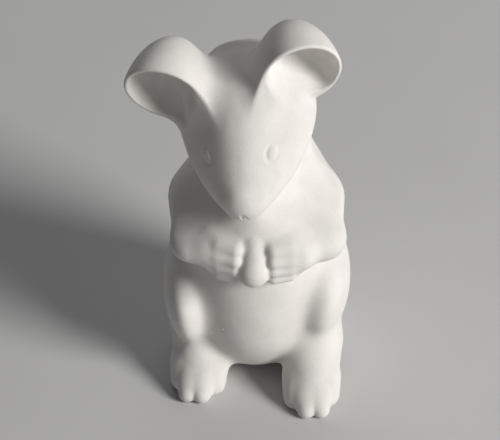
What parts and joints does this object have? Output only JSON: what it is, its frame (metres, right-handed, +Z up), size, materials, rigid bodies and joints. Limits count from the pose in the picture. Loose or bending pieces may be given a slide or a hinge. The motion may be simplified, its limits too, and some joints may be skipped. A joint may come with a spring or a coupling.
{
  "type": "mouse figurine",
  "caption": "Small white plaster figurine of a mouse that sits up on its hind feet, bows its head and holds a seed to its mouth with its front paws.",
  "frame": {"origin": "middle of the flat face that the figurine stands on, under its body", "axes": "+Z up through the body, -Y the way the mouse looks, +X the mouse's own left side"},
  "size_m": [0.0603, 0.0594, 0.1064],
  "materials": {
    "plaster": "matte, unglazed, with a very fine grain"
  },
  "bodies": {
    "root": {"torso": "plaster", "head": "plaster", "ear_left": "plaster", "ear_right": "plaster", "arm_left": "plaster", "arm_right": "plaster", "paw_left": "plaster", "paw_right": "plaster", "seed": "plaster", "haunch_left": "plaster", "haunch_right": "plaster", "foot_left": "plaster", "foot_right": "plaster", "tail": "plaster"}
  },
  "joints": []
}
